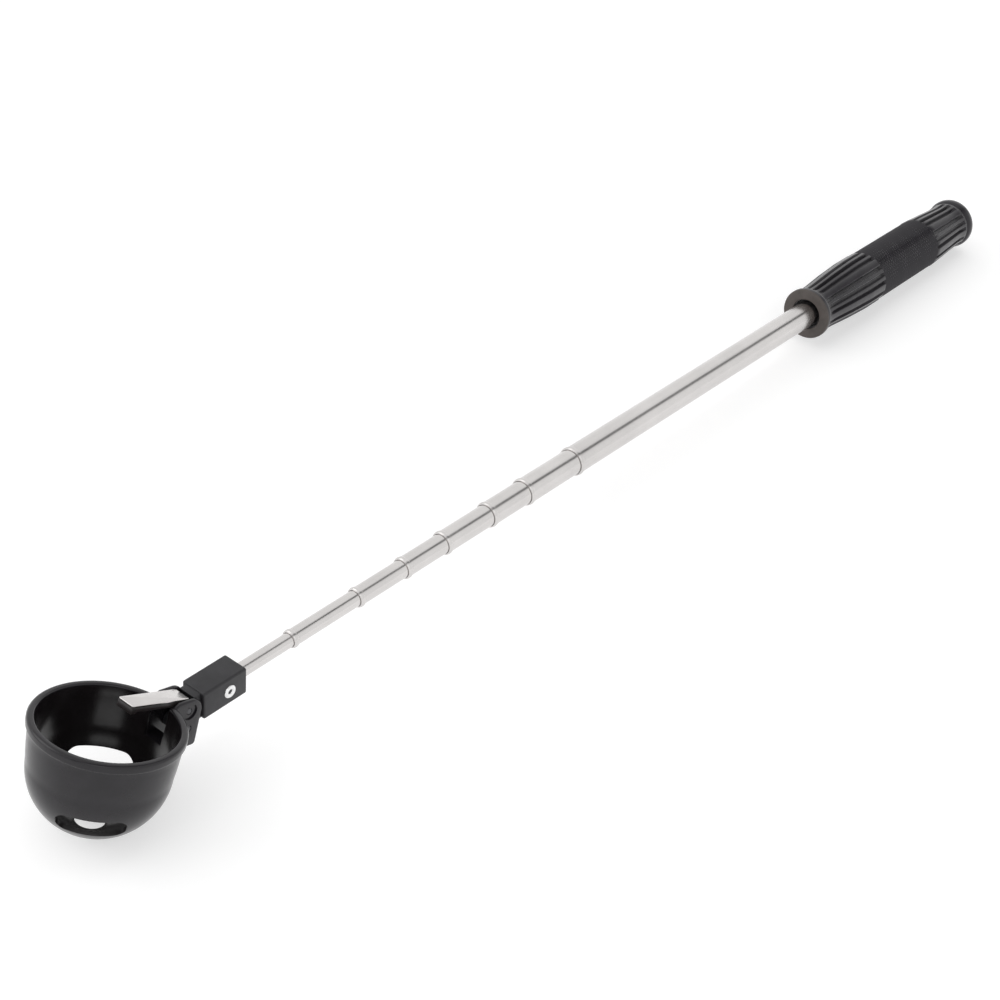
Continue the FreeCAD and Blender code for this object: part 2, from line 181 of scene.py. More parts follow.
def tube_rings(path: Array, radius: float, sides: int) -> Array:
    """Rings of a round wire along a path: centre + radius * (cos a * normal + sin a * other).

    Each ring is square to the path, and its normal is carried from ring to ring with the least turning.

    Args:
        path: (k, 3) points of the wire's centre line.
        radius: Wire radius.
        sides: Points in each ring.

    Returns:
        A (k, sides, 3) array.
    """
    tangent = np.gradient(path, axis=0)
    tangent /= np.linalg.norm(tangent, axis=1)[:, None]
    normal = np.cross(tangent[0], (0.0, 1.0, 0.0))
    normals = []
    for way in tangent:
        normal = normal - way * (normal @ way)
        normal = normal / np.linalg.norm(normal)
        normals.append(normal)
    normals = np.array(normals)
    other = np.cross(tangent, normals)
    angle = np.linspace(0, 2 * math.pi, sides, endpoint=False)[None, :, None]
    return path[:, None] + radius * (np.cos(angle) * normals[:, None] + np.sin(angle) * other[:, None])


# ---------------------------------------------------------------- meshes


def signed_volume(points: Array, triangles: Array) -> float:
    """Volume inside the triangles, negative when they face inwards: sum of a . (b x c) / 6."""
    a, b, c = (points[triangles[:, i]] for i in range(3))
    return float(np.einsum("ij,ij->i", a, np.cross(b, c)).sum() / 6)


def make_piece(name: str, points: Array, faces: list) -> bpy.types.Object:
    """Object from points in millimetres and faces, turned so that its faces point outwards.

    Args:
        name: Name of the object.
        points: (n, 3) array.
        faces: Lists of point numbers.

    Returns:
        The new object, linked into the scene, at the origin.
    """
    fans = np.array([(f[0], f[i], f[i + 1]) for f in faces for i in range(1, len(f) - 1)])
    if signed_volume(points - points.mean(0), fans) < 0:
        faces = [face[::-1] for face in faces]
    mesh = bpy.data.meshes.new(name)
    mesh.from_pydata((points * MM).tolist(), [], faces)
    mesh.validate()
    piece = bpy.data.objects.new(name, mesh)
    bpy.context.scene.collection.objects.link(piece)
    return piece


def skin(name: str, rings: Array, looped: bool = False) -> bpy.types.Object:
    """Closed surface over rings: quads between neighbours, and a fan to each end ring's middle unless
    the rings close on themselves.

    Args:
        name: Name of the object.
        rings: (k, n, 3) array of points.
        looped: Whether the last ring joins the first.

    Returns:
        The new object.
    """
    count, around, _ = rings.shape
    points = rings.reshape(-1, 3)
    index = np.arange(count * around).reshape(count, around)
    rows = np.vstack([index, index[:1]]) if looped else index
    low, high = rows[:-1], rows[1:]
    faces = np.stack([low, np.roll(low, -1, 1), np.roll(high, -1, 1), high], -1).reshape(-1, 4).tolist()
    if not looped:
        points = np.vstack([points, rings[0].mean(0), rings[-1].mean(0)])
        for ring, tip in ((index[0][::-1], len(points) - 2), (index[-1], len(points) - 1)):
            faces += np.stack([ring, np.roll(ring, -1), np.full(around, tip)], -1).tolist()
    return make_piece(name, points, faces)


def slab(name: str, outline: Array, low: float, high: float) -> bpy.types.Object:
    """Side outline given a width along y, with flat ends: each (x, z) becomes (x, low, z) and (x, high, z).

    Args:
        name: Name of the object.
        outline: (n, 2) points of the side, in order.
        low: Y of one end.
        high: Y of the other end.

    Returns:
        The new object.
    """
    count = len(outline)
    points = np.vstack([np.insert(outline, 1, end, axis=1) for end in (low, high)])
    index = np.arange(count)
    after = np.roll(index, -1)
    faces = np.stack([index, after, after + count, index + count], -1).tolist()
    faces += [index[::-1].tolist(), (index + count).tolist()]
    return make_piece(name, points, faces)


def settle(piece: bpy.types.Object) -> bpy.types.Object:
    """Applies a piece's modifiers to its mesh.

    Args:
        piece: The piece.

    Returns:
        The same piece, with no modifiers left.
    """
    graph = bpy.context.evaluated_depsgraph_get()
    solid = bpy.data.meshes.new_from_object(piece.evaluated_get(graph))
    piece.modifiers.clear()
    piece.data = solid
    return piece


def eased(piece: bpy.types.Object, width: float, segments: int = 3) -> bpy.types.Object:
    """Rounds a piece's sharp edges.

    Args:
        piece: The piece.
        width: Width of the rounding.
        segments: Faces across the rounding.

    Returns:
        The same piece, with its new mesh.
    """
    bevel = piece.modifiers.new("edges", "BEVEL")
    bevel.width = width * MM
    bevel.segments = segments
    bevel.limit_method = "ANGLE"
    bevel.angle_limit = math.radians(EASE_ANGLE)
    return settle(piece)


def combine(piece: bpy.types.Object, other: bpy.types.Object, step: Step) -> bpy.types.Object:
    """Joins another solid to a piece or takes it away, and removes it.

    Args:
        piece: The solid that stays.
        other: The solid that is used up.
        step: What the other solid does.

    Returns:
        The piece, with its new mesh.
    """
    modifier = piece.modifiers.new("step", "BOOLEAN")
    modifier.operation = step.value
    modifier.solver = "EXACT"
    modifier.object = other
    settle(piece)
    bpy.data.objects.remove(other)
    return piece


def bored(piece: bpy.types.Object, centre: Pair, radius: float) -> bpy.types.Object:
    """Cuts a round hole right across a piece, at an (x, z) centre.

    Args:
        piece: The piece.
        centre: Where the hole's axis is.
        radius: Radius of the hole.

    Returns:
        The piece, with its new mesh.
    """
    ends = np.array([(-BORE_REACH, radius), (BORE_REACH, radius)])
    drill = skin("bore", turned(ends, PIN_SIDES, Axis.ACROSS, (centre[0], 0, centre[1])))
    return combine(piece, drill, Step.CUT)


def shift_points(piece: bpy.types.Object, mover: Callable[[Array], Array]) -> bpy.types.Object:
    """Moves all of a piece's points at once.

    Args:
        piece: The piece.
        mover: Function from an (n, 3) array in millimetres to another.

    Returns:
        The same piece.
    """
    count = len(piece.data.vertices)
    flat = np.empty(count * 3, np.float32)
    piece.data.vertices.foreach_get("co", flat)
    moved = mover(flat.reshape(-1, 3).astype(float) / MM) * MM
    piece.data.vertices.foreach_set("co", moved.astype(np.float32).ravel())
    piece.data.update()
    return piece


def dress(piece: bpy.types.Object, material: bpy.types.Material, body: str, slot: str, *nodes: str) -> None:
    """Gives a finished piece its main material, shading and body, and hides the frame nodes that it stands
    for.

    Args:
        piece: The finished piece.
        material: Main material. A piece that already has several keeps them.
        body: Rigid body that the piece moves with.
        slot: Name of the record's material slot; not used.
        nodes: Frame nodes that the piece stands for.
    """
    if len(piece.data.materials) < 2:
        piece.data.materials.clear()
        piece.data.materials.append(material)
    piece.data.shade_smooth()
    piece.data.set_sharp_from_angle(angle=math.radians(SHARP_ANGLE))
    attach(piece, body)
    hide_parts(*nodes)
    log.info("%s: %d faces on %s", piece.name, len(piece.data.polygons), body)


def refinish(name: str, material: bpy.types.Material) -> None:
    """Gives a frame node that stays a better material.

    Args:
        name: Name of the node.
        material: Its new material.
    """
    mesh = frame["nodes"][name].data
    mesh.materials.clear()
    mesh.materials.append(material)
    log.info("%s: frame node kept", name)


# ---------------------------------------------------------------- finishes


class Sheet:
    """A material's node sheet, with short calls for adding and joining nodes."""

    def __init__(self, name: str) -> None:
        """Starts a material with its plain shader.

        Args:
            name: Name of the material.
        """
        self.material = bpy.data.materials.new(name)
        self.material.use_nodes = True
        self.tree = self.material.node_tree
        self.shader = self.tree.nodes["Principled BSDF"]
        self.place = self.add("ShaderNodeTexCoord").outputs["Object"]

    def add(self, kind: str, **inputs: object) -> bpy.types.Node:
        """Adds a node.

        Args:
            kind: The node's type.
            inputs: Values of its inputs, with an underscore for each space in a name.

        Returns:
            The new node.
        """
        node = self.tree.nodes.new(kind)
        for key, value in inputs.items():
            node.inputs[key.replace("_", " ")].default_value = value
        return node

    def join(self, source: bpy.types.NodeSocket, target: bpy.types.NodeSocket) -> None:
        """Links two sockets."""
        self.tree.links.new(source, target)

    def feed(self, name: str, source: bpy.types.NodeSocket) -> None:
        """Links a socket to one of the shader's inputs."""
        self.join(source, self.shader.inputs[name])

    def put(self, name: str, value: object) -> None:
        """Sets one of the shader's inputs to a value that is the same all over."""
        self.shader.inputs[name].default_value = value

    def stretched(self, scale: Triple) -> bpy.types.NodeSocket:
        """Object coordinates multiplied by three scales.

        Args:
            scale: Scale along X, Y and Z.

        Returns:
            The socket with the new coordinates.
        """
        mapping = self.add("ShaderNodeMapping", Scale=scale)
        self.join(self.place, mapping.inputs["Vector"])
        return mapping.outputs["Vector"]

    def noise(self, scale: float, detail: float, where: bpy.types.NodeSocket = None) -> bpy.types.NodeSocket:
        """Fractal noise.

        Args:
            scale: Its scale.
            detail: How many finer layers it has.
            where: Coordinates that it reads, or None for the object's own.

        Returns:
            The socket with the factor.
        """
        node = self.add("ShaderNodeTexNoise", Scale=scale, Detail=detail)
        self.join(where or self.place, node.inputs["Vector"])
        return node.outputs["Fac"]

    def ranged(self, source: bpy.types.NodeSocket, low: float, high: float) -> bpy.types.NodeSocket:
        """A factor's middle part spread over a range.

        Args:
            source: Socket with the factor.
            low: Lowest value.
            high: Highest value.

        Returns:
            The socket with the value.
        """
        node = self.add("ShaderNodeMapRange", From_Min=NOISE_MIDDLE[0], From_Max=NOISE_MIDDLE[1],
                        To_Min=low, To_Max=high)
        self.join(source, node.inputs["Value"])
        return node.outputs["Result"]

    def tinted(self, source: bpy.types.NodeSocket, low: Triple, high: Triple) -> bpy.types.NodeSocket:
        """A colour between two, by a factor.

        Args:
            source: Socket with the factor.
            low: Colour where the factor is low.
            high: Colour where the factor is high.

        Returns:
            The socket with the colour.
        """
        node = self.add("ShaderNodeValToRGB")
        for stop, position, colour in zip(node.color_ramp.elements, NOISE_MIDDLE, (low, high)):
            stop.position = position
            stop.color = (*colour, 1)
        self.join(source, node.inputs["Fac"])
        return node.outputs["Color"]

    def bumped(self, source: bpy.types.NodeSocket, depth: float, strength: float) -> bpy.types.NodeSocket:
        """Bump from a height factor.

        Args:
            source: Socket with the factor.
            depth: Height of the bump.
            strength: Share of it that shows, from 0 to 1.

        Returns:
            The socket with the normal.
        """
        node = self.add("ShaderNodeBump", Strength=strength, Distance=depth * MM)
        self.join(source, node.inputs["Height"])
        return node.outputs["Normal"]


def shade(colour: Triple, factor: float) -> Triple:
    """A colour made lighter or darker by a factor."""
    return tuple(min(1.0, channel * factor) for channel in colour)


@dataclass(frozen=True)
class Moulding:
    """Moulded black plastic or rubber: mottled colour, uneven gloss and a fine spark-eroded grain."""

    name: str
    colour: Triple
    gloss: Pair                         # roughness of its shiniest and dullest spots
    grain: float
    grain_depth: float
    specular: float = 0.5
    sheen: float = 0.0                  # soft light at grazing angles, as on dusty rubber
    sheen_roughness: float = 0.35
    grain_strength: float = 0.6
    blotches: float = 180.0
    blotch_tints: Pair = (0.86, 1.18)
    gloss_spots: float = 420.0
    details: Triple = (3.0, 2.0, 4.0)   # finer layers of the blotches, the grain and the gloss spots

    def material(self) -> bpy.types.Material:
        """Builds the finish.

        Returns:
            The material.
        """
        sheet = Sheet(self.name)
        blotches = sheet.noise(self.blotches, self.details[0])
        grain = sheet.noise(self.grain, self.details[1])
        spots = sheet.noise(self.gloss_spots, self.details[2])
        dark, light = (shade(self.colour, factor) for factor in self.blotch_tints)
        sheet.feed("Base Color", sheet.tinted(blotches, dark, light))
        sheet.feed("Roughness", sheet.ranged(spots, *self.gloss))
        sheet.feed("Normal", sheet.bumped(grain, self.grain_depth, self.grain_strength))
        sheet.put("Specular IOR Level", self.specular)
        sheet.put("Sheen Weight", self.sheen)
        sheet.put("Sheen Roughness", self.sheen_roughness)
        return sheet.material


@dataclass(frozen=True)
class DrawnMetal:
    """Drawn, rolled or turned metal: fine lines, faint handling marks and uneven gloss."""

    name: str
    colour: Triple
    gloss: Pair                         # roughness of its shiniest and dullest lines
    lines: Triple                       # scale of the line pattern along X, Y and Z
    line_depth: float
    line_strength: float = 0.5
    marks: float = 60.0
    mark_tints: Pair = (0.95, 1.03)
    details: Pair = (3.0, 5.0)          # finer layers of the lines and the marks

    def material(self) -> bpy.types.Material:
        """Builds the finish.

        Returns:
            The material.
        """
        sheet = Sheet(self.name)
        lines = sheet.noise(1.0, self.details[0], sheet.stretched(self.lines))
        marks = sheet.noise(self.marks, self.details[1])
        dark, light = (shade(self.colour, factor) for factor in self.mark_tints)
        sheet.feed("Base Color", sheet.tinted(marks, dark, light))
        sheet.feed("Roughness", sheet.ranged(lines, *self.gloss))
        sheet.feed("Normal", sheet.bumped(lines, self.line_depth, self.line_strength))
        sheet.put("Metallic", 1.0)
        return sheet.material


GRIP_RUBBER = Moulding("grip_rubber", (0.0115, 0.0098, 0.0135), (0.28, 0.38), 1900.0, 0.012, 0.42, 0.35)
# the collar's front: browner as its own tone, and painted lighter as the light that falls on it
COLLAR_RUBBER = Moulding("collar_rubber", (0.066, 0.056, 0.051), (0.45, 0.6), 1900.0, 0.02, 0.4)
HIDDEN_CORE = Moulding("hidden_core", (0.030, 0.030, 0.032), (0.5, 0.65), 1500.0, 0.02)
BLOCK_BLACK = Moulding("block_black", (0.024, 0.0235, 0.026), (0.38, 0.48), 2600.0, 0.008, 0.36)
CUP_BLACK = Moulding("cup_black", (0.0135, 0.0122, 0.0145), (0.18, 0.24), 900.0, 0.002, 0.36)
# inside of the cup: more specular, and its colour painted darker than the outside as the shade inside the
# bowl
CUP_INSIDE_SHADED_GLOSS = Moulding("cup_inside_shaded_gloss", (0.009, 0.0075, 0.0082), (0.19, 0.23), 900.0, 0.001, 0.5)
LEVER_BLACK = Moulding("lever_black", (0.016, 0.013, 0.013), (0.34, 0.46), 2600.0, 0.008)

TURNED_LINES = (900.0, 900.0, 900.0)
TUBE_STEEL = DrawnMetal("tube_steel", (0.655, 0.635, 0.625), (0.20, 0.27), (14.0, 2600.0, 2600.0), 0.003)
PLATE_STEEL = DrawnMetal("plate_steel", (0.62, 0.60, 0.59), (0.18, 0.26), (2200.0, 60.0, 900.0), 0.004)
BRIGHT_STEEL = DrawnMetal("bright_steel", (0.82, 0.82, 0.82), (0.12, 0.20), TURNED_LINES, 0.003)
DARK_PIN = DrawnMetal("dark_pin", (0.09, 0.09, 0.095), (0.30, 0.42), TURNED_LINES, 0.003)
BUSH_BRASS = DrawnMetal("bush_brass", (0.72, 0.56, 0.30), (0.24, 0.36), TURNED_LINES, 0.003)


# ---------------------------------------------------------------- grip


@dataclass
class Grip:
    """Rubber grip: butt flare, fluted rear, ringed middle, fluted front, and a collar with a deep hole."""

    flare_radius: float = 13.75
    flare_x: float = 4.2             # where the butt is first at its widest
    flare_flat: float = 0.4
    flare_rounds: Pair = (4.15, 4.1)    # radii of the butt's rear and front shoulders
    flare_foot: Pair = (9.6, 12.9)      # (x, radius) where the flare ends
    rear_start: float = 10.4
    rear_outline: Outline = ((10.0, 12.85), (16.0, 12.65), (22.0, 12.95), (33.0, 13.65), (44.0, 14.25))
    rear_fade: Pair = (9.8, 1.6)     # x where the rear flutes start, and the length that they fade in over
    rear_rows: int = 14
    front_outline: Outline = ((105.0, 14.4), (118.0, 14.4), (135.0, 13.55), (151.0, 12.3), (158.0, 12.1))
    front_end: float = 2.0           # from the last fluted row to the collar
    front_fade: Pair = (1.2, 5.0)    # gap from the front flutes to the collar, and their fading length
    front_rows: int = 20
    middle: Pair = (45.2, 103.8)
    middle_radius: float = 14.0
    middle_step: float = 0.7         # from the ringed part to the fluted row beside it
    ring_pitch: float = 1.0
    ring_depth: float = 0.34
    ring_rows: int = 4
    wobble: Triple = (0.3, 23.0, 2.9)   # share of the ring depth, waves round, and radians per mm along
    flute_first: float = 15.0
    flute_pitch: float = 17.0
    flutes_in_group: int = 3
    flute_group: float = 60.0        # three grooves and a land
    flute_depth: float = 1.9
    flute_half_width: float = 1.3
    flute_steepness: float = 2.2
    collar_radius: float = 13.35
    collar_thickness: float = 3.6
    collar_edge: float = 0.9
    collar_inset: float = 1.0        # from each face of the collar to the middle of its edge's rounding
    collar_face: float = 1.1         # how far back the collar's front reaches, browner as its own tone and painted lighter as the light falling on it
    neck_run: float = 0.4
    neck_radius: float = 12.3
    hole_radius: float = 7.9
    hole_edge: float = 0.5
    core_gap: float = 0.02
    around: int = 288

    def fluted(self, x: Array, outline: Outline, share: Array) -> Array:
        """(x, radius, flute share, 0) rows along an outline that is straight between its points."""
        return np.stack([x, np.interp(x, *np.transpose(outline)), np.clip(share, 0, 1), 0 * x], -1)

    def stations(self) -> Array:
        """Outline of the grip from the butt to the collar's front.

        Returns:
            (k, 4) rows of x, radius, flute share and ring share.
        """
        front = float(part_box("grip_sleeve")[1].x) / MM
        neck = front - self.collar_thickness
        first, last = self.middle
        shoulder, fall = self.flare_rounds
        butt = joined(arc((self.flare_x, self.flare_radius - shoulder), shoulder, 180, 100, 9),
                      arc((self.flare_x + self.flare_flat, self.flare_radius - fall), fall, 84, 45, 6),
                      [self.flare_foot])
        rear_x = np.linspace(self.rear_start, first - self.middle_step, self.rear_rows)
        start, length = self.rear_fade
        rear = self.fluted(rear_x, self.rear_outline, (rear_x - start) / length)
        ahead_x = np.linspace(last + self.middle_step, neck - self.front_end, self.front_rows)
        gap, length = self.front_fade
        ahead = self.fluted(ahead_x, self.front_outline, (neck - gap - ahead_x) / length)
        ring_x = np.arange(first, last + self.ring_pitch / 100, self.ring_pitch / self.ring_rows)
        none = 0 * ring_x
        ringed = np.stack([ring_x, none + self.middle_radius, none, none + 1], -1)
        edge = self.collar_radius - self.collar_edge
        collar = joined([(neck - self.neck_run, self.neck_radius)],
                        arc((neck + self.collar_inset, edge), self.collar_edge, 170, 90, 6),
                        arc((front - self.collar_inset, edge), self.collar_edge, 90, 0, 6))
        plain_butt, plain_collar = (np.insert(part, [2, 2], 0.0, axis=1) for part in (butt, collar))
        return np.vstack([plain_butt, rear, ringed, ahead, plain_collar])

    def groove(self, angle: Array) -> Array:
        """Depth share of the flutes: a smooth step (3 s^2 - 2 s^3) down and up at each groove's angle.

        Args:
            angle: Angles round the pole.

        Returns:
            A (1, angles) array from 0 to 1.
        """
        within = (angle - self.flute_first + self.flute_pitch / 2) % self.flute_group
        off = (within % self.flute_pitch) - self.flute_pitch / 2
        inside = within < self.flutes_in_group * self.flute_pitch
        across = np.radians(np.where(inside, off, self.flute_pitch))[None] * self.middle_radius
        share = np.clip(self.flute_steepness * (1 - np.abs(across) / self.flute_half_width), 0, 1)
        return share * share * (3 - 2 * share)

    def outside(self) -> Array:
        """Rings of the outside: outline - flute share * depth * groove - ring share * depth * sin^2.

        Returns:
            A (k, around, 3) array from the butt to the collar's front.
        """
        x, radius, fluted, ringed = self.stations().T[:, :, None]
        angle = np.linspace(0, 360, self.around, endpoint=False)
        turn = np.radians(angle)[None]
        share, waves, along = self.wobble
        wave = 0.5 - 0.5 * np.cos(2 * math.pi * (x - self.middle[0]) / self.ring_pitch)
        uneven = 1 + share * np.sin(turn * waves) * np.sin(x * along)
        depth = self.groove(angle) * fluted * self.flute_depth + ringed * wave * self.ring_depth * uneven
        away = radius - depth
        return np.stack([np.repeat(x, self.around, 1), away * np.cos(turn), away * np.sin(turn)], -1)

    def bore(self, front: float) -> Array:
        """Outline of the hole: over its eased edge, back to the liner, and along the liner to the butt plug.

        Args:
            front: X of the collar's front.

        Returns:
            (k, 2) pairs of x and radius.
        """
        core_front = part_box("grip_core")[1]
        butt_wall = float(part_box("butt_plug")[0].x) / MM - self.core_gap
        bore = float(core_front.y) / MM + self.core_gap
        hole_end = float(core_front.x) / MM
        edge = arc((front - self.hole_edge, self.hole_radius + self.hole_edge), self.hole_edge, 0, -90, 5)
        return joined(edge, [(hole_end, self.hole_radius), (hole_end, bore), (butt_wall, bore)])

    def build(self) -> bpy.types.Object:
        """Outside and hole in one closed surface, with the collar's front in its own material.

        Returns:
            The grip.
        """
        outside = self.outside()
        front = float(outside[-1, 0, 0])
        hole = turned(self.bore(front), self.around, Axis.POLE)
        grip = skin("grip_sleeve_rubber", np.vstack([outside, hole]))
        centre = np.empty(len(grip.data.polygons) * 3, np.float32)
        grip.data.polygons.foreach_get("center", centre)
        for finish in (GRIP_RUBBER, COLLAR_RUBBER):
            grip.data.materials.append(finish.material())
        # faces of the collar's front, which get the browner rubber with painted light
        on_collar = centre[::3] > (front - self.collar_face) * MM
        grip.data.polygons.foreach_set("material_index", on_collar.astype(np.int32))
        return grip

    def dress(self) -> None:
        """Puts the grip in place and finishes the pieces that it hides."""
        grip = self.build()
        dress(grip, grip.data.materials[0], "handle", "rubber_grip", "grip_sleeve")
        core = HIDDEN_CORE.material()
        for name in ("grip_core", "butt_plug"):
            refinish(name, core)


# ---------------------------------------------------------------- pole


@dataclass
class Pole:
    """Eight drawn tubes, each with a rolled bead at its mouth, and the bushes that they slide on."""

    count: int = 8
    largest_radius: float = 6.5
    radius_step: float = 0.5
    wall: float = 0.3
    bead_width: float = 2.4
    bead_swell: float = 2.0          # length of the bead's round swelling
    bead_rise: float = 0.42
    neck_run: float = 0.5
    nose_radius: float = 0.26
    nose_inset: Pair = (0.30, 0.18)  # from the mouth, and in from the outside, to the nose's middle
    lip_gap: float = 0.07
    lip_corners: Outline = ((0.04, 0.1), (0.2, 0.0))    # (back from the mouth, out from the lip)
    lip_taper: float = 0.4
    longest_run: float = 12.0
    segments: int = 96

    def radius(self, number: int) -> float:
        """Outer radius of a tube."""
        return self.largest_radius - self.radius_step * (number - 1)

    def mouth(self, number: int) -> Array:
        """Outline of a tube's rolled bead: a neck, a round swelling, a rounded nose and the inner lip.

        Args:
            number: Number of the tube.

        Returns:
            (k, 2) pairs of x and radius.
        """
        radius = self.radius(number)
        end = float(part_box("tube_%d" % number)[1].x) / MM
        start = end - self.bead_width
        lip = radius - self.radius_step + self.lip_gap
        swell = np.linspace(0, math.pi, 15)[:-1]
        bead = np.stack([start + self.bead_swell * (1 - np.cos(swell)) / 2,
                         radius + self.bead_rise * np.sin(swell)], -1)
        nose = arc((end - self.nose_inset[0], radius - self.nose_inset[1]), self.nose_radius, 80, 0, 5)
        corners = [(end - back, lip + out) for back, out in self.lip_corners]
        return joined([(start - self.neck_run, radius)], bead, nose, corners,
                      [(start, lip), (start - self.lip_taper, radius - self.wall)])

    def build(self, number: int) -> bpy.types.Object:
        """Closed tube: the outline runs out along the outside, over the mouth and back along the bore.

        Args:
            number: Number of the tube.

        Returns:
            The tube.
        """
        low, high = (float(corner.x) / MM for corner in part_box("tube_%d" % number))
        radius = self.radius(number)
        if number == self.count:
            mouth = [(high, radius), (high, radius - self.wall)]
        else:
            mouth = self.mouth(number)
        loop = joined([(low, radius)], mouth, [(low, radius - self.wall), (low, radius)])
        profile = refined(loop, self.longest_run)[:-1]
        return skin("tube_%d_drawn" % number, turned(profile, self.segments, Axis.POLE), looped=True)

    def dress(self) -> None:
        """Puts the tubes in place and finishes the bushes."""
        steel = TUBE_STEEL.material()
        brass = BUSH_BRASS.material()
        for number in range(1, self.count + 1):
            body = "handle" if number == 1 else "section_%d" % number
            dress(self.build(number), steel, body, "stainless_tube", "tube_%d" % number)
        for number in range(2, self.count + 1):
            refinish("slide_bush_%d" % number, brass)


# ---------------------------------------------------------------- where the scoop is


@dataclass(frozen=True)
class ScoopPlace:
    """The scoop's own frame: origin at the middle of the rim, +z out of the mouth, the pole at -x.

    It is worked out from the two hinge pins, whose (x, z) places in this frame are known.
    """

    tilt_pin: Pair = (-34.8, -11.0)
    flap_pin: Pair = (-34.2, -3.6)

    def pins(self) -> tuple[Array, Array]:
        """Places of the two pins in the object's frame.

        Returns:
            (x, z) of the tilt pin, and (x, z) of the flap pin.
        """
        places = {joint["name"]: joint["pos_m"] for joint in frame["joints"] if "pos_m" in joint}
        tilt, swing = (np.array(places[name])[[0, 2]] / MM for name in ("scoop_tilt", "flap_swing"))
        return tilt, swing

    def turn(self) -> float:
        """How far the mouth leans towards the grip, from the slopes of the line through the pins.

        Returns:
            The angle in radians.
        """
        there = self.pins()[1] - self.pins()[0]
        here = np.subtract(self.flap_pin, self.tilt_pin)
        return math.atan2(there[1], there[0]) - math.atan2(here[1], here[0])

    def to_object(self, points: Array) -> Array:
        """Points turned about y by the lean, then moved so that the tilt pin is in its place.

        Args:
            points: (n, 3) array in the scoop's frame.

        Returns:
            An (n, 3) array in the object's frame.
        """
        pin = self.pins()[0]
        local = np.array([self.tilt_pin[0], 0, self.tilt_pin[1]])
        return leaned(points - local, self.turn()) + np.array([pin[0], 0, pin[1]])


PLACE = ScoopPlace()


# ---------------------------------------------------------------- block


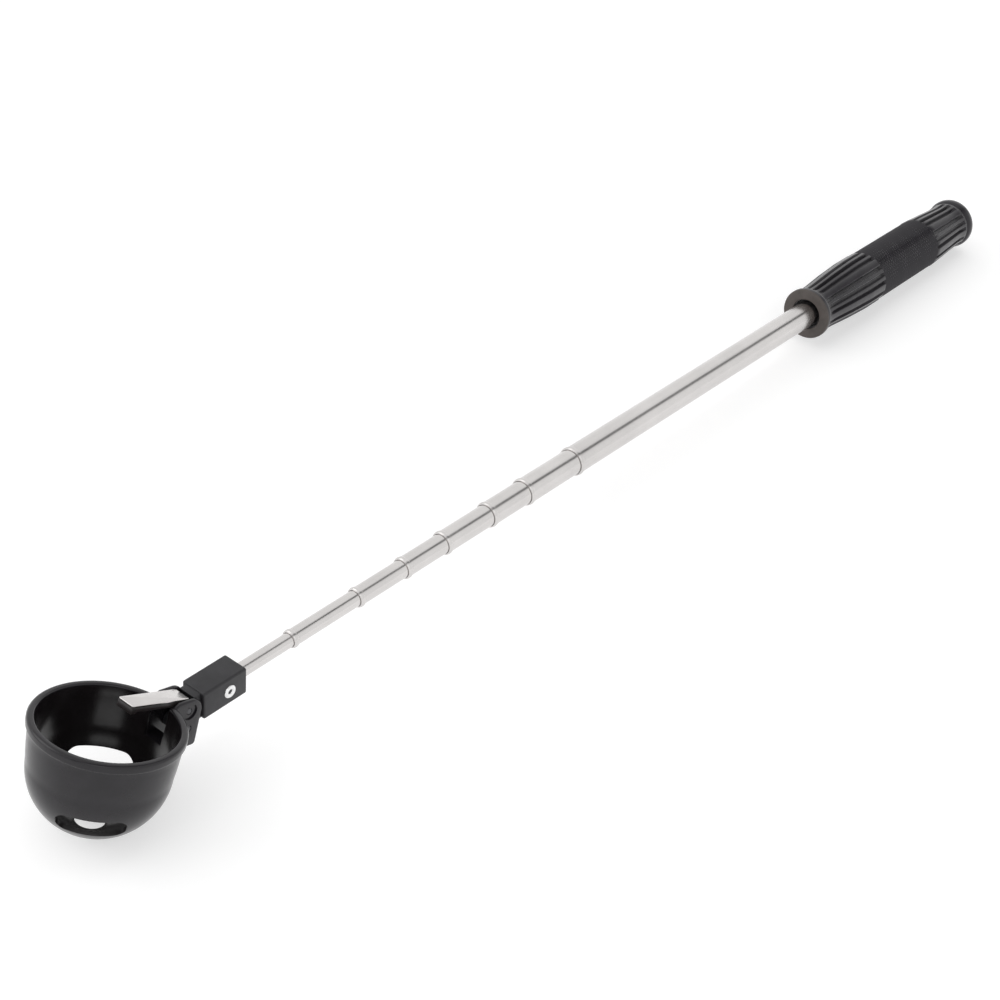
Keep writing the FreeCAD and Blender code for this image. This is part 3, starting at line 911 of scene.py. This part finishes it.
@dataclass
class EndBlock:
    """Block on the thinnest tube: a socket, rounded edges, a tongue for the tilt pin and a hollow rivet."""

    length: float = 21.2
    width: float = 11.6
    height: float = 12.0
    corner: float = 1.0
    least_corner: float = 0.15
    edge: float = 0.7
    socket_radius: float = 3.08
    socket_depth: float = 5.0
    socket_chamfer: float = 0.45
    tongue_width: float = 7.8
    tongue_radius: float = 3.3
    tongue_bottom: float = -5.0
    tongue_root: float = 3.0         # how far the tongue starts inside the block
    tongue_edge: float = 0.35
    web_reach: float = 2.2           # how far the web on the tongue stands ahead of the block
    web_top: float = 5.4
    web_corner: Pair = (0.8, 0.5)    # length and height of the step at the web's top
    rivet_from_rear: float = 8.6
    rivet_bore: float = 0.9
    rivet_shank: float = 1.5
    rivet_head_radius: float = 2.75
    rivet_head: float = 0.7
    pin_half: float = 6.0
    pin_radius: float = 1.48
    pin_tip: float = 1.1
    pin_chamfer: float = 0.3
    pin_bore: float = 1.56
    per_corner: int = 10

    def rear(self) -> float:
        """X of the block's rear face."""
        return float(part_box("end_block")[0].x) / MM

    def shell(self) -> bpy.types.Object:
        """Rings from the socket's bottom, out over the rear face and along the sides to the front.

        Returns:
            The block without its tongue.
        """
        rear = self.rear()
        plain = rounded_box_ring(self.width, self.height, self.corner, self.per_corner)
        way = plain / np.linalg.norm(plain, axis=1)[:, None]
        socket = ((self.socket_depth, self.socket_radius), (self.socket_chamfer, self.socket_radius),
                  (0.0, self.socket_radius + self.socket_chamfer))
        rings = [np.insert(way * radius, 0, rear + depth, axis=1) for depth, radius in socket]
        steps = edge_steps(self.edge, 5)
        for face, turn, ends in ((rear, 1, steps), (rear + self.length, -1, steps[::-1])):
            for depth, inset in ends:
                ring = rounded_box_ring(self.width - 2 * inset, self.height - 2 * inset,
                                        max(self.corner - inset, self.least_corner), self.per_corner)
                rings.append(np.insert(ring, 0, face + turn * depth, axis=1))
        return skin("end_block_moulded", np.array(rings))

    def tongue(self) -> bpy.types.Object:
        """Arm with a round end that hugs the tilt pin, and a small web above it.

        Returns:
            The tongue, with its bore.
        """
        pin = PLACE.pins()[0]
        front = self.rear() + self.length
        root = front - self.tongue_root
        nose = arc(tuple(pin), self.tongue_radius, -90, 90, 17)
        face, top = front + self.web_reach, self.web_top
        long, high = self.web_corner
        web = [(face, pin[1] + self.tongue_radius), (face, top - long), (face + long, top - high),
               (face + long, top), (root, top)]
        outline = joined([(root, self.tongue_bottom)], nose, web)
        half = self.tongue_width / 2
        return bored(eased(slab("tongue", outline, -half, half), self.tongue_edge), pin, self.pin_bore)

    def rivet(self) -> bpy.types.Object:
        """Hollow rivet: a bored shank with a rolled head at each side, whose crown is half a sine wave.

        Returns:
            The rivet.
        """
        half = self.width / 2
        crown = np.linspace(0, math.pi, 13)
        middle = (self.rivet_bore + self.rivet_head_radius) / 2
        reach = (self.rivet_head_radius - self.rivet_bore) / 2
        dome = np.stack([half + self.rivet_head * np.sin(crown), middle - reach * np.cos(crown)], -1)
        shank = [(half, self.rivet_shank), (-half, self.rivet_shank)]
        loop = joined(dome, shank, dome[::-1] * (-1, 1))
        centre = (self.rear() + self.rivet_from_rear, 0, 0)
        return skin("block_rivet_hollow", turned(loop, 48, Axis.ACROSS, centre), looped=True)

    def pin(self) -> bpy.types.Object:
        """Tilt pin with a chamfer at each end.

        Returns:
            The pin.
        """
        pin_x, pin_z = PLACE.pins()[0]
        shoulder = self.pin_half - self.pin_chamfer
        profile = np.array([(-self.pin_half, self.pin_tip), (-shoulder, self.pin_radius),
                            (shoulder, self.pin_radius), (self.pin_half, self.pin_tip)])
        return skin("tilt_pin_turned", turned(profile, PIN_SIDES, Axis.ACROSS, (pin_x, 0, pin_z)))

    def dress(self) -> None:
        """Puts the block, its rivet and the tilt pin in place."""
        block = combine(self.shell(), self.tongue(), Step.JOIN)
        dress(block, BLOCK_BLACK.material(), "section_8", "black_moulding", "end_block")
        dress(self.rivet(), BRIGHT_STEEL.material(), "section_8", "bright_steel", "block_rivet")
        dress(self.pin(), DARK_PIN.material(), "section_8", "pin_steel", "tilt_pin")


# ---------------------------------------------------------------- scoop


@dataclass
class Cup:
    """Scoop cup: beaded lip, tapered wall, round bottom with two slot windows and a drain, and the neck."""

    rim_radius: float = 27.85
    rim_inner: float = 25.0
    lip_depth: float = 3.6
    lip_neck: float = 1.0            # from the lip down to where the wall is widest
    lip_rounds: Triple = (0.85, 1.25, 0.9)      # radii of the lip's low, high and inner edges
    bowl_radius: float = 25.8
    bowl_depth: float = 17.5
    wall: float = 2.0
    wall_flare: float = 1.1          # how much wider the wall is under the lip than at the bowl
    wall_bow: float = 0.55           # how far the outside bows out between them
    inside_bow: float = 0.25
    drain_radius: float = 5.5
    drain_edge: float = 0.5
    foot: float = 0.5
    window_top: float = -24.7
    window_bottom: float = -33.3
    window_width: float = 24.6
    window_corner: float = 4.2
    window_reach: Pair = (3.0, 38.7)    # from where to where a window is cut, out from the cup's axis
    window_angles: Pair = (45.0, 225.0)
    cheek_inner: float = 4.05
    cheek_outer: float = 6.0
    cheek_rear: float = -40.1
    cheek_front: float = -24.6
    cheek_bottom: float = -18.9
    cheek_top: float = 1.3
    cheek_round: float = 5.5
    cheek_foot: float = 1.5
    cheek_edge: float = 0.75
    cheek_shoulder: Outline = ((-25.4, -1.2), (-26.2, 0.2))     # (x, z) where its top runs into the rim
    cheek_root: Outline = ((-24.6, -7.2), (-25.4, -4.0))        # (x, z) of its front, inside the wall
    cheek_crest: float = -28.6
    slot_low: Pair = (-32.0, -15.3)  # (x, z) of the latch slot's lower rear corner
    slot_high: Pair = (-20.0, 3.0)
    slot_margin: float = 0.3         # how far the slot is cut into each cheek's place
    floor_rear: float = -30.8
    floor_lap: float = 0.5
    floor_gaps: Pair = (0.02, 0.05)  # from the cheeks' bottom and from the slot to the floor's faces
    flap_bore: float = 1.27
    tilt_bore: float = 1.52
    recess_radius: float = 3.1
    recess_depth: float = 0.6
    recess_slope: float = 0.2
    shaded_gloss_top: float = -1.0         # the glossier inside, its colour painted darker as shade, starts this far below the rim
    shaded_gloss_margin: float = 0.3
    shaded_gloss_lean: float = 0.5         # least share of a face's normal that looks towards the middle
    segments: int = 240

    def profile(self) -> Array:
        """Outline of the wall: outside up from the drain, over the lip, inside down, and across the drain.

        Between the bowl and the lip the outside's radius is bowl + flare * t * (1 + bow * (1 - t)), and the
        inside's is rim - narrowing * t * (1 - bow * (1 - t)), with t from 0 to 1 along the wall.

        Returns:
            (k, 2) pairs of z and radius.
        """
        depth, outer = -self.bowl_depth, self.bowl_radius
        inner = outer - self.wall
        start, inner_start = (math.degrees(math.asin((self.drain_radius + self.drain_edge) / radius))
                              for radius in (outer, inner))
        ball = arc((depth, 0), outer, 180 - start, 90, 40)
        rise = np.linspace(0, 1, 9)[1:]
        wall = np.stack([depth + rise * (-self.lip_depth - self.lip_neck - depth),
                         outer + self.wall_flare * rise * (1 + self.wall_bow * (1 - rise))], -1)
        low, high, rim = self.lip_rounds
        lip = joined(arc((low - self.lip_depth, self.rim_radius - low), low, 175, 90, 6),
                     arc((-high, self.rim_radius - high), high, 90, 0, 9),
                     arc((-rim, self.rim_inner + rim), rim, 0, -90, 7))
        fall = np.linspace(0, 1, 9)
        narrowing = (self.rim_inner - inner) * fall * (1 - self.inside_bow * (1 - fall))
        inside = np.stack([-self.lip_depth + fall * (depth + self.lip_depth), self.rim_inner - narrowing], -1)
        hollow = arc((depth, 0), inner, 90, 180 - inner_start, 40)[1:]
        step = self.drain_edge / 2
        drain = [(hollow[-1][0] - step, self.drain_radius), (ball[0][0] + step, self.drain_radius)]
        return joined(ball, wall, lip, inside, hollow, drain)

    def window_cutter(self, angle: float) -> bpy.types.Object:
        """Slot with round corners, carried outwards from near the axis.

        Args:
            angle: Where it is, round the cup.

        Returns:
            The solid that cuts the window.
        """
        height = self.window_top - self.window_bottom
        ring = rounded_box_ring(self.window_width, height, self.window_corner, 12)
        middle = (self.window_top + self.window_bottom) / 2
        rings = np.array([np.stack([np.full(len(ring), out), ring[:, 0], ring[:, 1] + middle], -1)
                          for out in self.window_reach])
        cos, sin = math.cos(math.radians(angle)), math.sin(math.radians(angle))
        return skin("window", rings @ np.array([[cos, -sin, 0], [sin, cos, 0], [0, 0, 1]]).T)

    def cheek(self, side: int) -> bpy.types.Object:
        """One side of the neck, with its edges eased, a recess for the flap pin's end and both pins' holes.

        Args:
            side: 1 or -1, the side of the pole that it is on.

        Returns:
            The cheek.
        """
        crown = arc((self.cheek_rear + self.cheek_round, self.cheek_top - self.cheek_round),
                    self.cheek_round, 90, 180, 13)
        foot = arc((self.cheek_rear + self.cheek_foot, self.cheek_bottom + self.cheek_foot),
                   self.cheek_foot, 180, 270, 6)
        outline = joined(self.cheek_shoulder, [(self.cheek_crest, self.cheek_top)], crown, foot,
                         [(self.cheek_front, self.cheek_bottom)], self.cheek_root)
        low, high = sorted((side * self.cheek_inner, side * self.cheek_outer))
        cheek = eased(slab("cheek", outline, low, high), self.cheek_edge, 4)
        pin_x, pin_z = PLACE.flap_pin
        ends = np.array([(side * (self.cheek_outer - self.recess_depth), self.recess_radius),
                         (side * (self.cheek_outer + 1.0), self.recess_radius + self.recess_slope)])
        recess = skin("recess", turned(ends, PIN_SIDES, Axis.ACROSS, (pin_x, 0, pin_z)))
        combine(cheek, recess, Step.CUT)
        bored(cheek, PLACE.flap_pin, self.flap_bore)
        return bored(cheek, PLACE.tilt_pin, self.tilt_bore)

    def box(self, low: Pair, high: Pair, half: float) -> bpy.types.Object:
        """Plain block between two (x, z) corners, used only to cut or fill."""
        outline = np.array([low, (high[0], low[1]), high, (low[0], high[1])])
        return slab("block", outline, -half, half)

    def resting(self, points: Array) -> Array:
        """Points in the object's frame, lifted to the resting plane where they would pass through it."""
        x, y, z = points.T
        return np.stack([x, y, np.maximum(z, ground_height(x))], -1)

    def build(self) -> bpy.types.Object:
        """Turns the bowl, cuts the windows and the latch slot, joins the neck, and leans the cup into place.

        Returns:
            The cup.
        """
        cup = skin("scoop_cup_moulded", turned(self.profile(), self.segments, Axis.CUP), looped=True)
        for angle in self.window_angles:
            combine(cup, self.window_cutter(angle), Step.CUT)
        slot = self.box(self.slot_low, self.slot_high, self.cheek_inner + self.slot_margin)
        combine(cup, slot, Step.CUT)
        for side in (-1, 1):
            combine(cup, self.cheek(side), Step.JOIN)
        under, over = self.floor_gaps
        low = (self.floor_rear, self.cheek_bottom + under)
        high = (self.cheek_front, self.slot_low[1] - over)
        combine(cup, self.box(low, high, self.cheek_inner + self.floor_lap), Step.JOIN)
        self.split_inside(cup)
        shift_points(cup, PLACE.to_object)
        return shift_points(cup, self.resting)

    def split_inside(self, cup: bpy.types.Object) -> None:
        """Gives the inside its own material, glossier and with its colour painted darker as the shade in the
        bowl: the faces that look towards the bowl's middle.

        Args:
            cup: The cup, in the scoop's frame.
        """
        faces = cup.data.polygons
        centre, normal = (np.empty(len(faces) * 3, np.float32) for _ in range(2))
        faces.foreach_get("center", centre)
        faces.foreach_get("normal", normal)
        centre = centre.reshape(-1, 3) / MM
        middle = np.maximum(centre, -self.bowl_depth) * (0, 0, 1)
        away = centre - middle
        reach = np.linalg.norm(away, axis=1)
        inward = (normal.reshape(-1, 3) * away).sum(1) < -self.shaded_gloss_lean * reach
        inside = inward & (reach < self.bowl_radius - self.shaded_gloss_margin) & (centre[:, 2] < self.shaded_gloss_top)
        # the inside faces get the glossier material with the painted shade
        cup.data.materials.clear()
        for finish in (CUP_BLACK, CUP_INSIDE_SHADED_GLOSS):
            cup.data.materials.append(finish.material())
        faces.foreach_set("material_index", inside.astype(np.int32))

    def dress(self) -> None:
        """Puts the cup in place."""
        cup = self.build()
        dress(cup, cup.data.materials[0], "scoop", "cup_moulding", "scoop_cup")


def ground_height(x: Array) -> Array:
    """Height of the plane that the butt flare and the cup's foot lie on: a straight line through both.

    Args:
        x: Distances along the pole.

    Returns:
        The heights there.
    """
    cup = Cup()
    centre = PLACE.to_object(np.array([[0, 0, -cup.bowl_depth]]))[0]
    foot = centre[2] - cup.bowl_radius + cup.foot
    flare_z = -Grip.flare_radius
    return flare_z + (x - Grip.flare_x) * (foot - flare_z) / (centre[0] - Grip.flare_x)


@dataclass
class Flap:
    """Latch flap: a moulded lever on its pin, a steel plate on it, and a spring round the pin."""

    rise: float = 10.5               # how far the flap leans up from the rim
    plate_start: float = 0.3
    plate_end: float = 28.9
    plate_top: float = 4.5
    plate_thickness: float = 0.8
    plate_width: float = 7.5
    plate_corner: float = 0.6
    plate_edge: float = 0.16
    lever_width: float = 7.4
    lever_edge: float = 0.22
    arm_rear: float = 0.32
    arm_gap: float = 4.0
    arm_underside: float = 1.8
    knuckle_radius: float = 3.0
    knuckle_start: float = 84.0      # angle where the knuckle leaves the arm's rear face
    shelf_rear: float = 3.4
    shelf_bottom: float = 2.4
    shelf_lap: float = 0.4           # how far the shelf runs into each arm
    lip_bottom: float = 1.2
    lip_length: float = 3.2
    lip_slope: float = 1.0
    pin_radius: float = 1.25
    pin_gap: float = 0.08
    pin_tip: float = 0.95
    pin_chamfer: float = 0.25
    coil_radius: float = 1.95
    wire_radius: float = 0.3
    wire_sides: int = 14
    coil_turns: float = 3 + 300.0 / 360.0
    coil_width: float = 2.4
    coil_points: int = 150
    floor_leg: float = 11.6
    lever_leg: float = 7.2
    leg_start: float = 0.3           # from the coil's end to the floor leg's first point
    leg_lap: float = 0.35            # how far the lever leg reaches back into the coil's end

    def to_object(self, points: Array) -> Array:
        """Points of the flap's own frame, turned up by its rise and set on the flap pin.

        Args:
            points: (n, 3) array, with the pin at the origin and the lever along x.

        Returns:
            An (n, 3) array in the object's frame.
        """
        pin_x, pin_z = PLACE.flap_pin
        return PLACE.to_object(leaned(points, math.radians(self.rise)) + np.array([pin_x, 0, pin_z]))

    def lever(self) -> bpy.types.Object:
        """Two arms with knuckles, a shelf between them and a lip at the tip.

        Returns:
            The lever.
        """
        under = self.plate_top - self.plate_thickness
        turn_down = self.plate_end - self.lip_length
        tip = [(self.plate_end, self.lip_bottom), (self.plate_end, under)]
        lip = [(turn_down, self.arm_underside), (turn_down + self.lip_slope, self.lip_bottom)]
        knuckle = arc((0, 0), self.knuckle_radius, self.knuckle_start, 360, 37)
        arm = joined(knuckle, [(self.knuckle_radius, self.arm_underside)], lip, tip, [(self.arm_rear, under)])
        shelf = joined([(self.shelf_rear, under), (self.shelf_rear, self.shelf_bottom),
                        (turn_down, self.shelf_bottom)], lip[1:], tip)
        half, gap = self.lever_width / 2, self.arm_gap / 2
        lever = slab("latch_flap_moulded", arm, -half, -gap)
        combine(lever, slab("arm", arm, gap, half), Step.JOIN)
        combine(lever, slab("shelf", shelf, -gap - self.shelf_lap, gap + self.shelf_lap), Step.JOIN)
        bored(eased(lever, self.lever_edge, 2), (0, 0), self.pin_radius + self.pin_gap)
        return shift_points(lever, self.to_object)

    def plate(self) -> bpy.types.Object:
        """Thin plate with rounded corners in plan and broken edges: inset rings from face to face.

        Returns:
            The plate.
        """
        length = self.plate_end - self.plate_start
        centre = (self.plate_start + self.plate_end) / 2
        edge = edge_steps(self.plate_edge, 4)
        low = self.plate_top - self.plate_thickness
        heights = [(low + depth, inset) for depth, inset in edge]
        heights += [(self.plate_top - depth, inset) for depth, inset in edge[::-1]]
        rings = []
        for height, inset in heights:
            ring = rounded_box_ring(length - 2 * inset, self.plate_width - 2 * inset,
                                    self.plate_corner - inset, 8)
            rings.append(np.insert(ring + (centre, 0), 2, height, axis=1))
        return shift_points(skin("flap_plate_steel", np.array(rings)), self.to_object)

    def pin(self) -> bpy.types.Object:
        """Flap pin with a chamfered end in each recess.

        Returns:
            The pin.
        """
        half = Cup.cheek_outer - Cup.recess_depth
        shoulder = half - self.pin_chamfer
        profile = np.array([(-half, self.pin_tip), (-shoulder, self.pin_radius), (shoulder, self.pin_radius),
                            (half, self.pin_tip)])
        return shift_points(skin("flap_pin_turned", turned(profile, PIN_SIDES, Axis.ACROSS)), self.to_object)

    def coil_path(self) -> Array:
        """Helix round the flap pin: (radius * cos a, y, radius * sin a), with y going evenly across.

        Returns:
            A (coil_points, 3) array in the flap's frame.
        """
        angle = np.radians(np.linspace(0, 360 * self.coil_turns, self.coil_points))
        y = self.coil_width * (0.5 - angle / angle[-1])
        return np.stack([self.coil_radius * np.cos(angle), y, self.coil_radius * np.sin(angle)], -1)

    def springs(self) -> tuple[bpy.types.Object, bpy.types.Object]:
        """The spring, with each leg straight on from an end of the coil.

        Returns:
            The coil with its floor leg, and the leg that presses up on the lever and turns with it.
        """
        coil = self.coil_path()
        first = coil[0] - coil[1]
        last = coil[-1] - coil[-2]
        floor_steps = np.linspace(self.floor_leg, self.leg_start, 14)[:, None]
        lever_steps = np.linspace(-self.leg_lap, self.lever_leg, 12)[:, None]
        floor = coil[0] + first / np.linalg.norm(first) * floor_steps
        lever = coil[-1] + last / np.linalg.norm(last) * lever_steps
        paths = {"flap_spring_coil": np.vstack([floor, coil]), "flap_spring_leg": lever}
        wires = (skin(name, tube_rings(path, self.wire_radius, self.wire_sides))
                 for name, path in paths.items())
        return tuple(shift_points(wire, self.to_object) for wire in wires)

    def dress(self) -> None:
        """Puts the lever, plate, pin and spring in place."""
        bright = BRIGHT_STEEL.material()
        dress(self.lever(), LEVER_BLACK.material(), "flap", "black_moulding", "latch_flap")
        dress(self.plate(), PLATE_STEEL.material(), "flap", "plate_steel", "flap_plate")
        dress(self.pin(), DARK_PIN.material(), "scoop", "pin_steel", "flap_pin")
        coil, leg = self.springs()
        dress(coil, bright, "scoop", "bright_steel", "flap_spring")
        dress(leg, bright, "flap", "bright_steel", "flap_spring")


# ---------------------------------------------------------------- studio


@dataclass(frozen=True)
class Lamp:
    """Square soft light, turned towards a point."""

    name: str
    place: Triple
    aim: Triple
    size: float
    power: float                     # watts

    def build(self) -> None:
        """Adds the light to the scene."""
        data = bpy.data.lights.new(self.name, "AREA")
        data.size, data.energy = self.size * MM, self.power
        lamp = bpy.data.objects.new(self.name, data)
        toward = Vector(self.aim) - Vector(self.place)
        turn = toward.to_track_quat("-Z", "Y").to_matrix().to_4x4()
        lamp.matrix_world = Matrix.Translation(Vector(self.place) * MM) @ turn
        bpy.context.scene.collection.objects.link(lamp)


@dataclass(frozen=True)
class Studio:
    """Pale floor, soft light and the camera."""

    camera_place: Triple = (930.6, 379.2, 446.5)
    heading: float = 53.78           # from -Y towards -X
    pitch: float = 34.6
    roll: float = 5.72
    lens: float = 65.94
    sensor: float = 36.0
    clip: Pair = (10.0, 50000.0)
    floor_size: float = 8000.0
    floor_gap: float = 0.05
    floor_greys: Pair = (0.60, 0.62)
    floor_clouds: Pair = (3.0, 2.0)  # scale and detail of the floor's faint unevenness
    floor_roughness: float = 0.9
    floor_specular: float = 0.1
    table_glow: float = 0.50         # the table is lit from below
    sky: float = 1.0
    flag: float = 0.12               # brightness of the dark flag beside the camera
    flag_angle: float = 67.0         # where its middle is, round the pole
    flag_half: float = 10.0
    flag_soft: float = 5.0
    lamps: tuple[Lamp, ...] = (Lamp("key", (1500, -1100, 900), (600, 0, 0), 1200, 6.0),
                               Lamp("fill", (1500, 700, 900), (600, 0, 0), 900, 1.5))

    def camera(self) -> None:
        """Camera whose axes come from its heading, pitch and roll."""
        heading, pitch, roll = (math.radians(angle) for angle in (self.heading, self.pitch, self.roll))
        flat = Vector((-math.sin(heading), -math.cos(heading), 0))
        ahead = flat * math.cos(pitch) - Vector((0, 0, 1)) * math.sin(pitch)
        right = ahead.cross(Vector((0, 0, 1))).normalized()
        up = right.cross(ahead)
        side = right * math.cos(roll) + up * math.sin(roll)
        top = up * math.cos(roll) - right * math.sin(roll)
        data = bpy.data.cameras.new("camera")
        data.lens, data.sensor_width = self.lens, self.sensor
        data.clip_start, data.clip_end = (reach * MM for reach in self.clip)
        camera = bpy.data.objects.new("camera", data)
        turn = Matrix((side, top, -ahead)).transposed().to_4x4()
        camera.matrix_world = Matrix.Translation(Vector(self.camera_place) * MM) @ turn
        bpy.context.scene.collection.objects.link(camera)
        bpy.context.scene.camera = camera

    def floor(self) -> None:
        """Flat sheet through the butt flare and the cup's foot."""
        half = self.floor_size / 2
        corners = np.array([(-half, -half), (half, -half), (half, half), (-half, half)])
        points = np.insert(corners, 2, ground_height(corners[:, 0]) - self.floor_gap, axis=1)
        mesh = bpy.data.meshes.new("floor")
        mesh.from_pydata((points * MM).tolist(), [], [(0, 1, 2, 3)])
        floor = bpy.data.objects.new("floor", mesh)
        bpy.context.scene.collection.objects.link(floor)
        sheet = Sheet("floor_paper")
        dark, light = ((grey, grey, grey) for grey in self.floor_greys)
        sheet.feed("Base Color", sheet.tinted(sheet.noise(*self.floor_clouds), dark, light))
        sheet.put("Roughness", self.floor_roughness)
        sheet.put("Specular IOR Level", self.floor_specular)
        sheet.put("Emission Color", (1, 1, 1, 1))
        sheet.put("Emission Strength", self.table_glow)
        mesh.materials.append(sheet.material)

    def world(self) -> None:
        """White surroundings with one soft dark flag that runs along the pole on the camera's side.

        The strength is a smooth step of |atan2(z, y) - flag angle|, from the flag's to the sky's.
        """
        world = bpy.data.worlds.new("studio")
        bpy.context.scene.world = world
        world.use_nodes = True
        tree = world.node_tree
        back = tree.nodes["Background"]
        back.inputs["Color"].default_value = (1, 1, 1, 1)
        way = tree.nodes.new("ShaderNodeTexCoord")
        split = tree.nodes.new("ShaderNodeSeparateXYZ")
        angle = self.maths(tree, "ARCTAN2")
        off = self.maths(tree, "SUBTRACT", math.radians(self.flag_angle))
        size = self.maths(tree, "ABSOLUTE")
        ramp = tree.nodes.new("ShaderNodeMapRange")
        ramp.interpolation_type = "SMOOTHSTEP"
        for key, value in (("From Min", math.radians(self.flag_half - self.flag_soft)),
                           ("From Max", math.radians(self.flag_half + self.flag_soft)),
                           ("To Min", self.flag), ("To Max", self.sky)):
            ramp.inputs[key].default_value = value
        links = ((way.outputs["Generated"], split.inputs[0]), (split.outputs["Z"], angle.inputs[0]),
                 (split.outputs["Y"], angle.inputs[1]), (angle.outputs[0], off.inputs[0]),
                 (off.outputs[0], size.inputs[0]), (size.outputs[0], ramp.inputs["Value"]),
                 (ramp.outputs["Result"], back.inputs["Strength"]))
        for source, target in links:
            tree.links.new(source, target)

    @staticmethod
    def maths(tree: bpy.types.NodeTree, operation: str, second: float = 0.0) -> bpy.types.Node:
        """Math node.

        Args:
            tree: Tree that it goes into.
            operation: What it works out.
            second: Its second number.

        Returns:
            The new node.
        """
        node = tree.nodes.new("ShaderNodeMath")
        node.operation = operation
        node.inputs[1].default_value = second
        return node

    def build(self) -> None:
        """Sets up the whole studio."""
        self.camera()
        self.floor()
        self.world()
        for lamp in self.lamps:
            lamp.build()
        bpy.context.scene.view_settings.view_transform = "Standard"


def main() -> None:
    """Builds the sub-assemblies in order, then the studio."""
    logging.basicConfig(level=logging.INFO, format="%(name)s: %(message)s")
    for part in (Grip(), Pole(), EndBlock(), Cup(), Flap()):
        log.info("building %s", type(part).__name__)
        part.dress()
    Studio().build()


if __name__ == "__main__":
    main()
